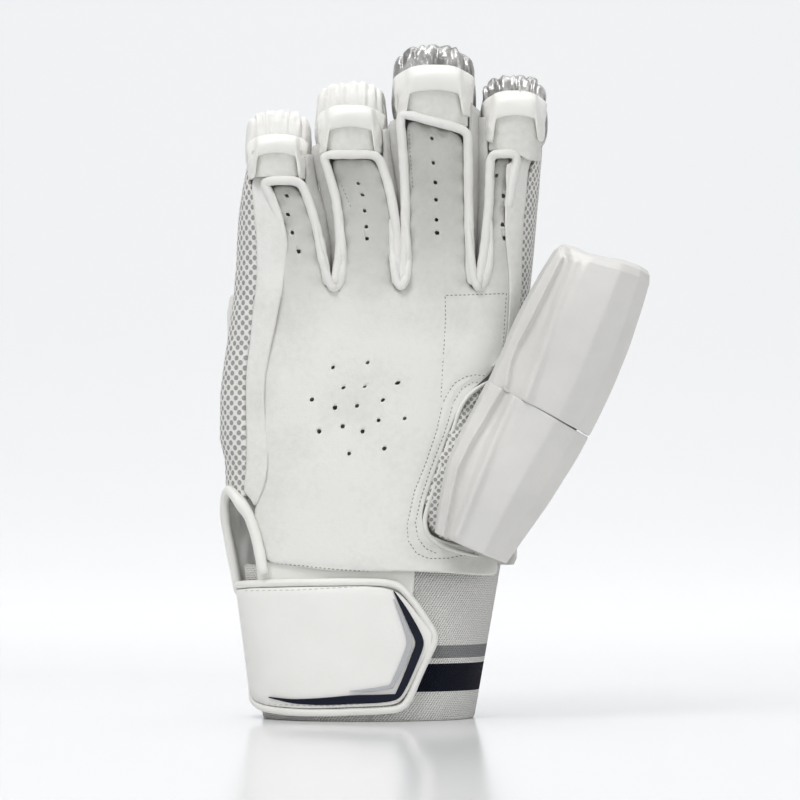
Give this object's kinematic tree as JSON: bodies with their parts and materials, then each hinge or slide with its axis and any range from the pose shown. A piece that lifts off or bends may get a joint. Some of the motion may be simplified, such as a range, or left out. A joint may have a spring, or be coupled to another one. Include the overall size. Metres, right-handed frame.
{
  "type": "padded batting glove",
  "caption": "Padded cricket batting glove for the right hand with leather palm, rolled finger padding, shelled thumb and strapped knit cuff that protects and grips.",
  "frame": {"origin": "centre of the footprint of the whole glove, on the plane that the cuff stands on", "axes": "+Z runs from the cuff to the fingertips, -Y is the palm side and +X the thumb side"},
  "size_m": [0.1764, 0.082, 0.2759],
  "materials": {
    "palm_leather": "soft matte white leather with fine grain",
    "patch_leather": "slightly greyer soft leather on the fingertips",
    "smooth_trim": "smooth coated trim with a low sheen",
    "white_padding": "coated cover over soft filling",
    "silver_cloth": "crinkled silver coated cloth",
    "side_cloth": "perforated white cloth",
    "knit": "fine elastic weave with grey and dark blue bands",
    "dark_stripe": "plain dark blue ribbon"
  },
  "bodies": {
    "root": {"palm_leather": "palm_leather", "back_leather": "palm_leather", "fourchette_little_ring": "side_cloth", "fourchette_ring_middle": "side_cloth", "fourchette_middle_index": "side_cloth", "ulnar_strip": "palm_leather", "ulnar_mesh": "side_cloth", "radial_strip": "palm_leather", "radial_mesh": "side_cloth", "welt_little": "smooth_trim", "welt_ring": "smooth_trim", "welt_middle": "smooth_trim", "welt_index": "smooth_trim", "tip_patch_little": "patch_leather", "tip_patch_ring": "patch_leather", "tip_patch_middle": "patch_leather", "tip_patch_index": "patch_leather", "tip_hood_little": "smooth_trim", "tip_hood_ring": "smooth_trim", "tip_hood_middle": "smooth_trim", "tip_hood_index": "smooth_trim", "tip_pad_little": "white_padding", "tip_pad_ring": "white_padding", "tip_pad_middle": "silver_cloth", "tip_pad_index": "silver_cloth", "middle_pad_little": "white_padding", "middle_pad_ring": "white_padding", "middle_pad_middle": "white_padding", "middle_pad_index": "white_padding", "base_pad_little": "white_padding", "base_pad_ring": "white_padding", "base_pad_middle": "white_padding", "base_pad_index": "white_padding", "knuckle_bar_little": "white_padding", "knuckle_bar_ring": "white_padding", "knuckle_bar_middle": "white_padding", "knuckle_bar_index": "white_padding", "wrist_guard": "white_padding", "thumb_gusset": "side_cloth", "thumb_sleeve": "palm_leather", "thumb_shell_base": "smooth_trim", "thumb_shell_tip": "smooth_trim", "wristband": "knit", "cuff_binding": "smooth_trim", "vent_binding": "smooth_trim", "vent_facing": "side_cloth", "strap": "smooth_trim", "strap_piping": "smooth_trim", "strap_stripe_dark": "dark_stripe", "strap_stripe_silver": "silver_cloth"}
  },
  "joints": []
}
